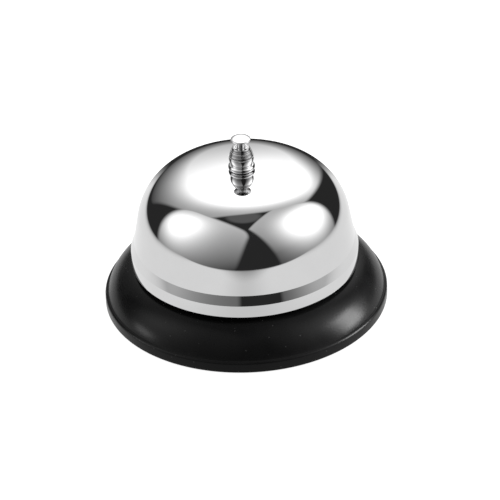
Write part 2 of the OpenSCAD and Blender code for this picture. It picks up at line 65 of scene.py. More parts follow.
def softened(corners, steps=6):
    """Closed outline from rows (r, z, radius). Each corner becomes an arc that touches both of its
    sides: it starts and ends radius / tan(half the inner angle) away from the corner, and its points
    are the spherical blend of the two spokes from the arc's centre."""
    rows = np.array(corners, float)
    point, radius = rows[:, :2], np.maximum(rows[:, 2:], 1e-6)
    back = np.roll(point, 1, 0) - point
    ahead = np.roll(point, -1, 0) - point
    back /= np.linalg.norm(back, axis=1, keepdims=True)
    ahead /= np.linalg.norm(ahead, axis=1, keepdims=True)
    half = np.arccos(np.clip(np.sum(back * ahead, 1, keepdims=True), -0.999999, 0.999999)) / 2
    middle = (back + ahead) / np.linalg.norm(back + ahead, axis=1, keepdims=True)
    centre = point + middle * radius / np.sin(half)
    spoke_a = point + back * radius / np.tan(half) - centre
    spoke_b = point + ahead * radius / np.tan(half) - centre
    swing = np.pi - 2 * half
    t = np.linspace(0, 1, steps + 1)[None, :, None]
    turn, swing = swing[:, :, None], np.maximum(swing[:, :, None], 1e-6)
    made = (np.sin((1 - t) * turn) * spoke_a[:, None] + np.sin(t * turn) * spoke_b[:, None])
    made = made / np.sin(swing) + centre[:, None]
    sharp = np.broadcast_to(rows[:, 2:, None] == 0, made.shape)
    return thinned(np.where(sharp, point[:, None], made).reshape(-1, 2))


def thinned(outline):
    """The outline without points that repeat the one before them."""
    step = np.linalg.norm(outline - np.roll(outline, 1, 0), axis=1)
    return outline[step > 1e-4]


def even(outline, longest):
    """A closed outline whose sides are split so that none is longer than longest."""
    ahead = np.roll(outline, -1, 0)
    parts = np.ceil(np.linalg.norm(ahead - outline, axis=1) / longest).astype(int).clip(1)
    start = np.repeat(np.arange(len(outline)), parts)
    t = (np.arange(len(start)) - np.repeat(np.cumsum(parts) - parts, parts)) / parts[start]
    return outline[start] + t[:, None] * (ahead - outline)[start]


# Degrees between two faces from which their edge is creased, and the radius in millimetres
# at which an outward bend counts as fully sharp for the wear on it
smooth_up_to = 38
sharp_radius = 0.3


def solid(name, points, faces, corner_uv, edge):
    """A mesh object from arrays: points in millimetres, faces as arrays of three or four indices,
    a UV for each face corner, and for each point how sharp the edge is that it lies on."""
    mesh = bpy.data.meshes.new(name)
    mesh.from_pydata((points * 0.001).tolist(), [], [f for part in faces for f in part.tolist()])
    mesh.uv_layers.new(name="surface").data.foreach_set("uv", corner_uv.astype(np.float32).ravel())
    mesh.attributes.new("edge", "FLOAT", "POINT").data.foreach_set("value", edge.astype(np.float32))
    mesh.polygons.foreach_set("use_smooth", np.ones(len(mesh.polygons), bool))
    mesh.set_sharp_from_angle(angle=np.radians(smooth_up_to))
    mesh.update()
    made = bpy.data.objects.new(name, mesh)
    bpy.context.collection.objects.link(made)
    return made


def turned(name, outline, turns=192, wave=None, place=None):
    """Surface of revolution about Z. Row i and column j of the grid are the outline's point (r, z)
    at the angle a = 2 pi j / turns: x = r cos a, y = r sin a. wave(r, z, a) may change r first, and
    place, a 3 x 4 matrix, carries the result. The outline is put anticlockwise, which turns the
    faces outwards. If it starts and ends on the axis, a fan of triangles closes each pole."""
    line = np.array(outline, float)
    ahead = np.roll(line, -1, 0)
    if np.sum(line[:, 0] * ahead[:, 1] - ahead[:, 0] * line[:, 1]) < 0:
        line = line[::-1]
    at_axis = line[:, 0] < 1e-6
    if at_axis.any():
        ends = np.flatnonzero(at_axis)
        first = next(k for k in ends if not at_axis[(k + 1) % len(line)])
        line = np.roll(line, -first, 0)
        line = line[: np.flatnonzero(line[1:, 0] < 1e-6)[0] + 2]
    behind = line - np.roll(line, 1, 0)
    ahead = np.roll(line, -1, 0) - line
    cross = behind[:, 0] * ahead[:, 1] - behind[:, 1] * ahead[:, 0]
    bend = np.arctan2(cross, np.sum(behind * ahead, 1))
    bend /= (np.linalg.norm(behind, axis=1) + np.linalg.norm(ahead, axis=1)) / 2 + 1e-9
    sharp = np.clip(bend * sharp_radius, 0, 1)
    along = np.concatenate([[0], np.cumsum(np.linalg.norm(ahead, axis=1))])
    poles = line[0, 0] < 1e-6
    rows = line[1:-1] if poles else line
    offset = 1 if poles else 0
    n = len(rows)
    r, z = rows[:, :1] + np.zeros(turns), rows[:, 1:] + np.zeros(turns)
    a = np.arange(turns) * 2 * np.pi / turns + np.zeros((n, 1))
    if wave:
        r = wave(r, z, a)
    points = np.stack([r * np.cos(a), r * np.sin(a), z], -1).reshape(-1, 3)
    edge = np.repeat(sharp[offset : offset + n], turns)
    i = np.arange(n - 1 if poles else n)[:, None]
    j = np.arange(turns)[None, :]
    i2, j2 = (i + 1) % n, (j + 1) % turns
    quads = np.stack([i * turns + j, i * turns + j2, i2 * turns + j2, i2 * turns + j], -1)
    u, u2 = (j + 0 * i) / turns, (j + 1 + 0 * i) / turns
    v, v2 = along[i + offset] + 0 * j, along[i + offset + 1] + 0 * j
    uv = np.stack([u, v, u2, v, u2, v2, u, v2], -1).reshape(-1, 2)
    faces = [quads.reshape(-1, 4)]
    if poles:
        low, high = len(points), len(points) + 1
        points = np.concatenate([points, [[0, 0, line[0, 1]], [0, 0, line[-1, 1]]]])
        edge = np.append(edge, [0, 0])
        j, j2 = j[0], j2[0]
        last = (n - 1) * turns
        faces.append(np.stack([0 * j + low, j2, j], -1))
        faces.append(np.stack([last + j, last + j2, 0 * j + high], -1))
        u, u2 = j / turns, (j + 1) / turns
        v = [0 * u + along[k] for k in (0, 1, n, n + 1)]
        fans = [[u, v[0], u2, v[1], u, v[1]], [u, v[2], u2, v[2], u, v[3]]]
        uv = np.concatenate([uv] + [np.stack(fan, -1).reshape(-1, 2) for fan in fans])
    if place is not None:
        points = points @ place[:, :3].T + place[:, 3]
    return solid(name, points, faces, uv, edge)


def node(tree, kind, inputs=None, **settings):
    """Adds a shader node. inputs maps a socket's name or number to a value, or to the output
    that feeds it."""
    made = tree.nodes.new("ShaderNode" + kind)
    for key, value in settings.items():
        setattr(made, key, value)
    for key, value in (inputs or {}).items():
        if isinstance(value, bpy.types.NodeSocket):
            tree.links.new(value, made.inputs[key])
        else:
            made.inputs[key].default_value = value
    return made


def calc(tree, operation, *terms, clamp=False):
    """Output of a Math node on the terms, which are numbers or outputs."""
    return node(tree, "Math", dict(enumerate(terms)), operation=operation, use_clamp=clamp).outputs[0]


def blended(tree, share, low, high):
    """Colour between low and high, by a share that varies over the surface."""
    mix = node(tree, "Mix", {0: share}, data_type="RGBA")
    for socket, value in ((mix.inputs[6], low), (mix.inputs[7], high)):
        if isinstance(value, bpy.types.NodeSocket):
            tree.links.new(value, socket)
        else:
            socket.default_value = (*value, 1)
    return mix.outputs[2]


def effect(name, inputs, outputs):
    """A shader node group with the named float inputs, as {name: usual value}, and outputs."""
    group = bpy.data.node_groups.new(name, "ShaderNodeTree")
    for key, value in inputs.items():
        socket = group.interface.new_socket(key, in_out="INPUT", socket_type="NodeSocketFloat")
        socket.default_value = value
    for key in outputs:
        group.interface.new_socket(key, in_out="OUTPUT", socket_type="NodeSocketFloat")
    return group, group.nodes.new("NodeGroupInput").outputs, group.nodes.new("NodeGroupOutput").inputs


def placed(tree, group, **inputs):
    """Outputs of a copy of an effect, with its own values."""
    made = node(tree, "Group", node_tree=group)
    for key, value in inputs.items():
        made.inputs[key].default_value = value
    return made.outputs


def finish(name, metallic, specular=0.5, coat=0.0):
    """A new material. Returns it, its node tree and its Principled BSDF."""
    made = bpy.data.materials.new(name)
    made.use_nodes = True
    tree = made.node_tree
    shader = tree.nodes["Principled BSDF"]
    shader.inputs["Metallic"].default_value = metallic
    shader.inputs["Specular IOR Level"].default_value = specular
    shader.inputs["Coat Weight"].default_value = coat
    return made, tree, shader


def raised(tree, shader, height, distance, strength=1.0):
    """Feeds the shader's normal from a height that varies over the surface."""
    bump = node(tree, "Bump", {"Height": height, "Distance": distance, "Strength": strength})
    tree.links.new(bump.outputs[0], shader.inputs["Normal"])


def fitted(piece, body, slot, material, *nodes):
    """The piece takes its material, rides on the body and stands for the CAD nodes."""
    piece.data.materials.append(material)
    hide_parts(*nodes)
    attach(piece, body)


# Blotches: soft uneven patches, sized in millimetres, from three octaves of noise
blotches, given, out = effect("blotches", {"Size": 4.0, "Contrast": 2.0}, ["Patches"])
spot = node(blotches, "TexCoord").outputs["Object"]
often = calc(blotches, "DIVIDE", 1000.0, given["Size"])
noise = node(blotches, "TexNoise", {"Vector": spot, "Scale": often, "Detail": 3.0, "Roughness": 0.55})
level = calc(blotches, "SUBTRACT", noise.outputs[0], 0.5)
level = calc(blotches, "MULTIPLY_ADD", level, given["Contrast"], 0.5, clamp=True)
blotches.links.new(level, out["Patches"])

# Edge wear: where the outline bends sharply outwards, broken up by noise
edge_wear, given, out = effect("edge_wear", {"Reach": 1.0, "Grain": 1.2}, ["Worn"])
spot = node(edge_wear, "TexCoord").outputs["Object"]
often = calc(edge_wear, "DIVIDE", 1000.0, given["Grain"])
noise = node(edge_wear, "TexNoise", {"Vector": spot, "Scale": often, "Detail": 4.0, "Roughness": 0.6})
edge = node(edge_wear, "Attribute", attribute_name="edge").outputs["Fac"]
level = calc(edge_wear, "MULTIPLY", edge, given["Reach"])
level = calc(edge_wear, "ADD", level, noise.outputs[0])
wear_from, wear_gain = 1.12, 5.0
level = calc(edge_wear, "SUBTRACT", level, wear_from)
level = calc(edge_wear, "MULTIPLY", level, wear_gain, clamp=True)
edge_wear.links.new(level, out["Worn"])

base_low, base_high = box_of("base_shell")
lip_r = base_high[0]
platform_z = base_high[2]
platform_r = 33.5
flare_r = 13.0
lip_z = 3.9
lip_round = 0.9
foot_round = 0.5
clear_z = base_low[2]
sheet = 1.0
hem_bend = 0.45
hem_r = lip_r - 2.7
hem_top = clear_z + sheet
flat_rings = (0, 12, 24, 30, 32.6)
edge_start = 33.2
edge_sink = 0.01

lip_top = np.array([lip_r - lip_round, lip_z])
platform_edge = np.array([platform_r, platform_z])
chord = platform_edge - lip_top
span = np.linalg.norm(chord)
flare_c = (lip_top + platform_edge) / 2 + np.sqrt(flare_r**2 - span**2 / 4) / span * np.array(
    [lip_top[1] - platform_edge[1], platform_edge[0] - lip_top[0]])
flare_a = np.degrees(np.arctan2(*(lip_top - flare_c)[::-1]))
flare_b = np.degrees(np.arctan2(*(platform_edge - flare_c)[::-1]))
base_outline = np.concatenate([
    [[ring, platform_z] for ring in flat_rings],
    [[edge_start, platform_z - edge_sink]],
    arc(flare_c, flare_r, flare_b - 1.5, flare_a + 0.5, 56),
    arc([lip_r - lip_round, lip_z - lip_round], lip_round, 78, 0, 18),
    arc([lip_r - foot_round, clear_z + foot_round], foot_round, 0, -90, 10),
    arc([hem_r + hem_bend, clear_z + hem_bend], hem_bend, -90, -180, 8),
    arc([hem_r + hem_bend, hem_top - hem_bend], hem_bend, 180, 90, 8),
    [[lip_r - sheet, hem_top], [lip_r - sheet, lip_z - lip_round]],
    arc(flare_c, flare_r - sheet, flare_a, flare_b, 40),
    [[platform_r - sheet / 2, platform_z - sheet], [0, platform_z - sheet]],
])
pressed_base = turned("pressed_base", base_outline, 256)

lacquer, tree, shader = finish("black_lacquer", 0.0)
shader.inputs["IOR"].default_value = 1.2
patches = placed(tree, blotches, Size=9.0, Contrast=2.2)["Patches"]
worn = placed(tree, edge_wear, Reach=0.55, Grain=0.7)["Worn"]
spot = node(tree, "TexCoord").outputs["Object"]
peel = node(tree, "TexNoise", {"Vector": spot, "Scale": 1400.0, "Detail": 2.0})
specks = node(tree, "TexVoronoi", {"Vector": spot, "Scale": 420.0})
speck = calc(tree, "LESS_THAN", specks.outputs["Distance"], 0.07)
tone = blended(tree, patches, (0.0030, 0.0030, 0.0031), (0.0048, 0.0048, 0.0049))
tone = blended(tree, calc(tree, "MULTIPLY", speck, 0.25), tone, (0.12, 0.12, 0.12))
tone = blended(tree, worn, tone, (0.09, 0.09, 0.092))
tree.links.new(tone, shader.inputs["Base Color"])
gloss = calc(tree, "MULTIPLY_ADD", patches, 0.06, 0.24)
gloss = calc(tree, "ADD", gloss, calc(tree, "MULTIPLY", worn, 0.15))
tree.links.new(gloss, shader.inputs["Roughness"])
raised(tree, shader, peel.outputs[0], 0.00002, 0.5)
fitted(pressed_base, "housing", "black_lacquer", lacquer, "base_shell")

# ---------------------------------------------------------------- bottom plate
# A disc of thin steel, painted matt black, that closes the dish from below. The hem is
# rolled in over its edge. In the real bell four holes hold the feet; the disc here is drawn
# without them, and the feet's stems pass through it.
plate_low, plate_high = box_of("bottom_plate")
closing_plate = turned("closing_plate", even(softened([
    (0, plate_low[2], 0), (plate_high[0], plate_low[2], 0.15),
    (plate_high[0], plate_high[2], 0.15), (0, plate_high[2], 0)]), 3.0), 192)


def toned(tree, shader, share, low, high, smooth, rougher):
    """Base colour between low and high, and roughness smooth + rougher * share."""
    tree.links.new(blended(tree, share, low, high), shader.inputs["Base Color"])
    tree.links.new(calc(tree, "MULTIPLY_ADD", share, rougher, smooth), shader.inputs["Roughness"])


plate_paint, tree, shader = finish("plate_paint", 0.0)
patches = placed(tree, blotches, Size=6.0, Contrast=2.5)["Patches"]
spot = node(tree, "TexCoord").outputs["Object"]
grit = node(tree, "TexNoise", {"Vector": spot, "Scale": 2600.0, "Detail": 3.0})
toned(tree, shader, patches, (0.018, 0.018, 0.019), (0.032, 0.032, 0.033), 0.5, 0.12)
raised(tree, shader, grit.outputs[0], 0.00003, 0.6)
fitted(closing_plate, "housing", "plate_steel", plate_paint, "bottom_plate")

# ---------------------------------------------------------------- rubber feet
# Four moulded rubber buttons. Each has a dished pad on the table, a stem through the
# bottom plate and a barb inside that keeps it there.
rubber, tree, shader = finish("black_rubber", 0.0, specular=0.35)
patches = placed(tree, blotches, Size=1.5, Contrast=2.0)["Patches"]
spot = node(tree, "TexCoord").outputs["Object"]
pores = node(tree, "TexNoise", {"Vector": spot, "Scale": 5200.0, "Detail": 3.0})
toned(tree, shader, patches, (0.016, 0.016, 0.016), (0.034, 0.034, 0.033), 0.72, 0.14)
raised(tree, shader, pores.outputs[0], 0.00004, 0.7)
stem_r = 1.6
barb_r = 2.4
barb_rim = 0.3
dish_h = 0.35
dish_edge_h = 0.3
dish_w = 2.0
tread_w = 1.4


def stood_at(x, y):
    """Matrix that carries a piece turned about Z to (x, y)."""
    return np.array([[1, 0, 0, x], [0, 1, 0, y], [0, 0, 1, 0]])


for side in ("front_right", "back_right", "back_left", "front_left"):
    foot_low, foot_high = box_of("foot_" + side)
    pad_r = (foot_high[0] - foot_low[0]) / 2
    top_z = foot_high[2]
    foot_outline = softened([
        (0, dish_h, 0), (pad_r - dish_w, dish_edge_h, 0.6), (pad_r - tread_w, 0, 0.3), (pad_r, 0, 0.4),
        (pad_r, plate_low[2], 0.15), (stem_r, plate_low[2], 0), (stem_r, plate_high[2], 0),
        (barb_r, plate_high[2], 0.1), (barb_r, plate_high[2] + barb_rim, 0.2), (stem_r / 2, top_z, 0.2),
        (0, top_z, 0)])
    centre = (foot_low + foot_high) / 2
    foot = turned("rubber_foot_" + side, foot_outline, 64, place=stood_at(*centre[:2]))
    fitted(foot, "housing", "rubber", rubber, "foot_" + side)

# ---------------------------------------------------------------- bracket and rivets
# A bridge of zinc-plated strip, bent at four lines, that carries the post on top and the
# lever's pin between its legs. Four round-head rivets hold it to the platform.
zinc, tree, shader = finish("zinc_plate", 1.0)
patches = placed(tree, blotches, Size=2.5, Contrast=2.4)["Patches"]
spot = node(tree, "TexCoord").outputs["Object"]
drawn = node(tree, "Mapping", {"Vector": spot, "Scale": (60.0, 900.0, 900.0)})
lines = node(tree, "TexNoise", {"Vector": drawn.outputs[0], "Scale": 6.0, "Detail": 2.0})
toned(tree, shader, patches, (0.44, 0.45, 0.47), (0.60, 0.61, 0.62), 0.26, 0.16)
raised(tree, shader, lines.outputs[0], 0.00001, 0.5)


def coated(name, material):
    """Gives a CAD node that is shown as it is a material in place of its own."""
    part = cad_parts[name]
    part.data.materials.clear()
    part.data.materials.append(material)


coated("bracket", zinc)
coated("post_lock_washer", zinc)

rivet_r = 2.3
shank_r = 1.25
strip_t = 1.5
tail_r = 1.955
tail_h = 0.25
tail_end_r = 1.5
tail_end_h = 0.12
for side in ("front_right", "back_right", "back_left", "front_left"):
    low, high = box_of("rivet_" + side)
    centre = (low + high) / 2
    flange_z = platform_z + strip_t
    head = arc([0, flange_z], 1.0, 90, 0, 14) - [0, flange_z]
    head = head * [rivet_r, high[2] - flange_z] + [0, flange_z]
    outline = np.concatenate([head, [
        [shank_r, flange_z], [shank_r, platform_z - sheet], [tail_r, platform_z - sheet],
        [1.9, platform_z - sheet - tail_h], [tail_end_r, low[2] + tail_end_h], [shank_r, low[2]],
        [0, low[2]]]])
    rivet = turned("round_rivet_" + side, outline, 48, place=stood_at(*centre[:2]))
    fitted(rivet, "housing", "zinc_steel", zinc, "rivet_" + side)

# ---------------------------------------------------------------- post and its nut
# A turned brass post: threads at both ends, a hexagon to hold it by, and a flange that the
# bell sits on. It is bored for the rod, and a thin nut below clamps it to the bracket.
post_low, post_high = box_of("post")
nut_low, nut_high = box_of("post_nut")
washer_low, washer_high = box_of("seat_washer")
thread_r = 2.5
flange_r = post_high[1]
flange_top = washer_low[2]
flange_under = flange_top - 1.5
hex_top = flange_under
lock_washer_t = 0.8
hex_low = nut_high[2] + lock_washer_t + strip_t
hex_half = 4.0
bore_r = 1.05
pocket_r = 1.75
pocket_z = post_high[2] - 11.0
pitch = 0.8
cut = 0.42
chamfer = 0.4
run_out = 0.5
flange_edge = 0.2
hex_reach = 4.9
hair = 0.001


def threads_and_hexagon(r, z, a):
    """Cuts a vee thread, r - cut |saw(z / pitch - a / 2 pi)|, into the outside of both ends, and
    pares the rows from thread_r to hex_reach, up to the flange's underside, to the hexagon's
    flats: hex_half / cos of the angle from the nearest flat."""
    turn = (z / pitch - a / (2 * np.pi)) % 1
    vee = np.abs(2 * turn - 1) * cut
    ends = np.clip((z - post_low[2]) / run_out, 0, 1) * np.clip((post_high[2] - z) / run_out, 0, 1)
    past_hexagon = (z < hex_low) | (z > flange_top)
    threaded = (r > thread_r - chamfer - hair) & (r < thread_r + hair) & past_hexagon
    flat = hex_half / np.cos((a + np.pi / 6) % (np.pi / 3) - np.pi / 6)
    in_hexagon = (r > thread_r + hair) & (r < hex_reach)
    hexed = (z > hex_low - hair) & (z < hex_top + hair) & in_hexagon
    pared = np.where(hexed, np.minimum(r, flat), r)
    return np.where(threaded, pared - vee * ends, pared)


hex_corner = hex_half / np.cos(np.pi / 6)
post_outline = np.concatenate([
    [[thread_r - chamfer, post_low[2]]],
    np.stack([np.full(60, thread_r), np.linspace(post_low[2] + chamfer, hex_low, 60)], -1),
    [[hex_half, hex_low], [hex_corner, hex_low + 0.35], [hex_corner, hex_top - 0.01]],
    [[hex_corner + 0.05, flange_under], [flange_r - flange_edge, flange_under]],
    arc([flange_r - flange_edge, flange_under + flange_edge], flange_edge, -90, 0, 4),
    arc([flange_r - flange_edge, flange_top - flange_edge], flange_edge, 0, 90, 4),
    np.stack([np.full(96, thread_r), np.linspace(flange_top, post_high[2] - chamfer, 96)], -1),
    [[thread_r - chamfer, post_high[2]], [pocket_r, post_high[2]], [pocket_r, pocket_z]],
    [[bore_r, pocket_z], [bore_r, post_low[2]]],
])
brass_post = turned("brass_post", thinned(post_outline), 96, wave=threads_and_hexagon)

# Turning lines: fine rings that a tool leaves, from noise along the outline's length
turning, given, out = effect("turning_lines", {"Feed": 0.12}, ["Rings"])
across = node(turning, "UVMap", uv_map="surface").outputs[0]
across = node(turning, "SeparateXYZ", {0: across}).outputs[1]
across = calc(turning, "DIVIDE", across, given["Feed"])
rings = node(turning, "TexNoise", {"W": across, "Scale": 1.0, "Detail": 2.0}, noise_dimensions="1D")
turning.links.new(rings.outputs[0], out["Rings"])

brass, tree, shader = finish("turned_brass", 1.0)
patches = placed(tree, blotches, Size=1.8, Contrast=2.2)["Patches"]
rings = placed(tree, turning, Feed=0.1)["Rings"]
toned(tree, shader, patches, (0.62, 0.44, 0.17), (0.78, 0.60, 0.28), 0.2, 0.12)
raised(tree, shader, rings, 0.00001, 0.6)
fitted(brass_post, "housing", "brass", brass, "post")


def nut_flats(r, z, a):
    """Pares the rows outside the bore to a hexagon with a corner on the X axis."""
    flat = hex_half / np.cos(a % (np.pi / 3) - np.pi / 6)
    return np.where(r > thread_r + 0.4, np.minimum(r, flat), r)


tapped_r = 2.55
lead_in = 0.35
corner_w = 0.6
corner_h = 0.3
clamp_nut = turned("clamp_nut", [
    [tapped_r + lead_in, nut_low[2]], [hex_corner - corner_w, nut_low[2]],
    [hex_corner, nut_low[2] + corner_h], [hex_corner, nut_high[2] - corner_h],
    [hex_corner - corner_w, nut_high[2]], [tapped_r + lead_in, nut_high[2]],
    [tapped_r, nut_high[2] - lead_in], [tapped_r, nut_low[2] + lead_in]], 120, wave=nut_flats)
fitted(clamp_nut, "housing", "zinc_steel", zinc, "post_nut")

# ---------------------------------------------------------------- fibre washer
# A washer of red vulcanised fibre between the flange and the bell, so that the bell is
# held without being damped.
fibre, tree, shader = finish("red_fibre", 0.0, specular=0.4)
patches = placed(tree, blotches, Size=0.8, Contrast=2.4)["Patches"]
toned(tree, shader, patches, (0.22, 0.05, 0.03), (0.34, 0.10, 0.06), 0.6, 0.15)
raised(tree, shader, patches, 0.00003, 0.5)
fibre_washer = turned("fibre_washer", softened([
    (tapped_r, washer_low[2], 0), (washer_high[0], washer_low[2], 0.12),
    (washer_high[0], washer_high[2], 0.12), (tapped_r, washer_high[2], 0)], 4), 96)
fitted(fibre_washer, "housing", "fibre", fibre, "seat_washer")

# ---------------------------------------------------------------- bell
# The gong: one piece of steel pressed into a low crown, a round shoulder, a wall, a sloped
# step and an upright band, then polished, plated with bright chrome outside, dull inside.
bell_low, bell_high = box_of("bell")
rim_r = bell_high[0]
rim_z = bell_low[2]
crown_z = rim_z + 30.5
band_lean, band_h = 0.15, 4.1
step_w, step_h = 1.2, 7.0
band_run = [0.1, -3.2]
band_top = np.array([rim_r - band_lean, rim_z + band_h])
wall_foot = np.array([rim_r - step_w, rim_z + step_h])
wall_tilt = 10.0
shoulder_r = 18.0
crown_r = 140.0
crease = 0.4
crown_c = np.array([0, crown_z - crown_r])
tilt = np.radians(wall_tilt)
wall_n = np.array([np.cos(tilt), np.sin(tilt)])
wall_u = np.array([-np.sin(tilt), np.cos(tilt)])
to_wall = wall_foot - shoulder_r * wall_n - crown_c
half_b = to_wall @ wall_u
reach = np.sqrt(half_b**2 - to_wall @ to_wall + (crown_r - shoulder_r) ** 2) - half_b
shoulder_c = crown_c + to_wall + reach * wall_u
shoulder_a = np.degrees(np.arctan2(shoulder_c[1] - crown_c[1], shoulder_c[0]))
wall_gauge = 1.0
hole_a = np.degrees(np.arccos(tapped_r / crown_r))


def skin(inset):
    """Outline of the bell's outside from the hole to the band, moved inwards by inset: crown arc,
    shoulder arc, wall, and the two creases of the step, each rounded by softened()."""
    foot = wall_foot - inset * wall_n
    top = band_top - [inset, 0]
    crown = arc(crown_c, crown_r - inset, hole_a, shoulder_a, 40)
    shoulder = arc(shoulder_c, shoulder_r - inset, shoulder_a, wall_tilt, 90)[1:]
    wall = np.linspace(shoulder[-1], foot, 24)[1:-1]
    low = top + band_run
    bent = softened([(*wall[-1], 0), (*foot, crease), (*top, crease), (*low, 0), (0, 0, 0)], 8)
    kept = bent[: np.flatnonzero(np.abs(bent - low).sum(1) < 1e-6)[0]]
    return np.concatenate([crown, shoulder, wall[:-1], kept])


outside = skin(0.0)
inside = skin(wall_gauge)
rim_c = [rim_r - wall_gauge / 2, rim_z + wall_gauge / 2]
bell_outline = np.concatenate([outside, arc(rim_c, wall_gauge / 2, 0, -180, 20), inside[::-1]])
bell = turned("domed_bell", thinned(bell_outline), 300)

# Handling marks: short hairlines in three directions where noise lets them through, and a
# faint haze, as fingers and cloths leave on plate
handling, given, out = effect("handling_marks", {"Size": 3.0, "Share": 0.5}, ["Marks", "Haze"])
spot = node(handling, "TexCoord").outputs["Object"]
often = calc(handling, "DIVIDE", 1000.0, given["Size"])
haze = node(handling, "TexNoise", {"Vector": spot, "Scale": often, "Detail": 4.0, "Roughness": 0.6})
strand_from, strand_gain = 0.74, 9.0
total = 0.0
for turn in ((0.3, 0.2, 0.5), (1.1, 0.7, 2.3), (0.5, 1.4, 4.0)):
    laid = node(handling, "Mapping", {"Vector": spot, "Rotation": turn, "Scale": (0.05, 1.0, 1.0)})
    strand = node(handling, "TexNoise", {"Vector": laid.outputs[0], "Scale": 9000.0, "Detail": 0.0})
    peak = calc(handling, "SUBTRACT", strand.outputs[0], strand_from)
    total = calc(handling, "ADD", calc(handling, "MULTIPLY", peak, strand_gain, clamp=True), total)
worn = calc(handling, "SUBTRACT", haze.outputs[0], calc(handling, "SUBTRACT", 1.0, given["Share"]))
worn = calc(handling, "MULTIPLY", worn, 4.0, clamp=True)
handling.links.new(calc(handling, "MULTIPLY", total, worn, clamp=True), out["Marks"])
handling.links.new(haze.outputs[0], out["Haze"])

chrome_low, chrome_high = (0.60, 0.60, 0.602), (0.64, 0.64, 0.642)
chrome, tree, shader = finish("bright_chrome", 1.0)
marks = placed(tree, handling, Size=7.0, Share=0.55)
spot = node(tree, "TexCoord").outputs["Object"]
ripple = node(tree, "TexNoise", {"Vector": spot, "Scale": 260.0, "Detail": 1.0})
tree.links.new(blended(tree, marks["Haze"], chrome_low, chrome_high), shader.inputs["Base Color"])
gloss = calc(tree, "MULTIPLY_ADD", marks["Haze"], 0.03, 0.015)
gloss = calc(tree, "MULTIPLY_ADD", marks["Marks"], 0.10, gloss)
tree.links.new(gloss, shader.inputs["Roughness"])
raised(tree, shader, ripple.outputs[0], 0.000004, 0.4)

dull_chrome, tree, shader = finish("dull_plate", 1.0)
marks = placed(tree, handling, Size=3.0, Share=0.6)
toned(tree, shader, marks["Haze"], (0.36, 0.36, 0.362), (0.5, 0.5, 0.5), 0.24, 0.2)
rings = placed(tree, turning, Feed=0.3)["Rings"]
raised(tree, shader, rings, 0.00002, 0.4)
bell.data.materials.append(chrome)
bell.data.materials.append(dull_chrome)
dome_middle = [0, 0, 0.022]
centres = np.zeros(len(bell.data.polygons) * 3, np.float32)
normals = np.zeros_like(centres)
bell.data.polygons.foreach_get("center", centres)
bell.data.polygons.foreach_get("normal", normals)
outwards = (centres.reshape(-1, 3) - dome_middle) * normals.reshape(-1, 3)
bell.data.polygons.foreach_set("material_index", (outwards.sum(1) < 0).astype(np.int32))
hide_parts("bell")
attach(bell, "housing")

# ---------------------------------------------------------------- barrel nut
# A turned and chromed nut that clamps the bell: a rounded collar on the crown, a waist, and
# a barrel with a turned line. Its bore takes the post's thread and, above, the rod.
knob_low, knob_high = box_of("barrel_nut")
nut_z = knob_low[2]
nut_top = knob_high[2] - nut_z
collar_r = 3.98
bead = 0.875
waist_r = 3.2
barrel_r = 3.73
line_h = 4.4
ledge = 0.1
line_up = 0.5
widest_h = line_h - line_up
top_r = 2.5
rise = widest_h - 2 * bead
drop = barrel_r - waist_r
lower_r = (rise**2 + drop**2) / (2 * drop)
top_rise = nut_top - line_h
top_drop = barrel_r - ledge - top_r
upper_r = 11.0
chord = np.hypot(top_rise, top_drop)
lean = np.degrees(np.arctan2(top_drop, top_rise))
bulge = np.degrees(np.arcsin(chord / 2 / upper_r))
upper_c = np.array([barrel_r - ledge, line_h]) - upper_r * np.array(
    [np.cos(np.radians(lean - bulge)), np.sin(np.radians(lean - bulge))])
top_edge = 0.15
rod_hole_r = 1.15
recess_r, recess_low, recess_top = 1.8, 4.3, 0.9
ring_pitch = 0.3
ring_cut = 0.034


def tool_rings(r, z, a):
    """Cuts r by ring_cut (1 - cos(2 pi up / ring_pitch)) / 2 along the barrel's upper part, faded
    out towards both of its ends."""
    up = z - nut_z
    cut = ring_cut * (0.5 - 0.5 * np.cos(2 * np.pi * up / ring_pitch))
    fade = np.clip((up - line_h - 0.25) / 0.2, 0, 1) * np.clip((nut_top - 0.55 - up) / 0.3, 0, 1)
    return r - np.where(r > 2.45, cut * fade, 0)


knob_outline = np.concatenate([
    arc([collar_r - bead, bead], bead, -90, 68, 24),
    arc([barrel_r - lower_r, widest_h], lower_r, -np.degrees(np.arcsin(rise / lower_r)),
        np.degrees(np.arcsin(line_up / lower_r)), 24),
    [[barrel_r - ledge, line_h - 0.02]],
    arc(upper_c, upper_r, lean - bulge + 0.3, lean + bulge - 0.9, 80),
    arc([top_r - 0.13, nut_top - top_edge], top_edge, lean + bulge, 90, 6),
    [[rod_hole_r + 0.1, nut_top], [rod_hole_r, nut_top - 0.1], [rod_hole_r, nut_top - recess_top]],
    [[recess_r, nut_top - recess_top], [recess_r, recess_low], [tapped_r, recess_low]],
    [[tapped_r, 0.2], [tapped_r + 0.2, 0]],
])
barrel_nut = turned("bell_nut", thinned(knob_outline) + [0, nut_z], 160, wave=tool_rings)
